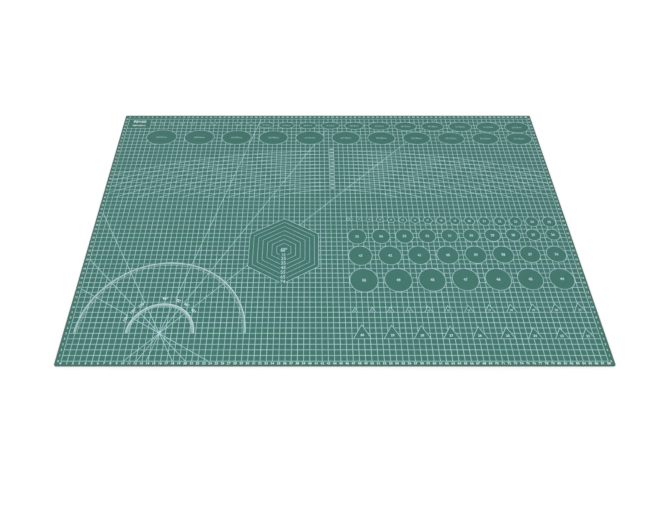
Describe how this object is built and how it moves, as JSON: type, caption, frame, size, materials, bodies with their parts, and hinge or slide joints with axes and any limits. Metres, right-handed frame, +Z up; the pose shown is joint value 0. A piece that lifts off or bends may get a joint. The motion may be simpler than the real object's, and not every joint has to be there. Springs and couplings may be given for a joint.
{
  "type": "cutting mat",
  "caption": "Flat self-healing craft cutting mat: a stiff core between two soft skins, with a printed centimetre grid, protractor rays and nested hexagons.",
  "frame": {"origin": "centre of the underside, on the surface that the mat lies on", "axes": "+X along the long side, to the right as the user sees the mat; +Y away from the user; +Z up through the mat's thickness"},
  "size_m": [0.9, 0.6, 0.003],
  "materials": {
    "skin_pvc": "fine matt pebble",
    "core_pvc": "cut edge",
    "ink": "screen print"
  },
  "bodies": {
    "root": {"bottom_skin": "skin_pvc", "core_ply": "core_pvc", "top_skin": "skin_pvc", "ink_main_lines": "ink", "ink_hexagon_2": "ink", "ink_hexagon_3": "ink", "ink_hexagon_4": "ink", "ink_hexagon_5": "ink", "ink_hexagon_6": "ink", "ink_hexagon_7": "ink"}
  },
  "joints": []
}
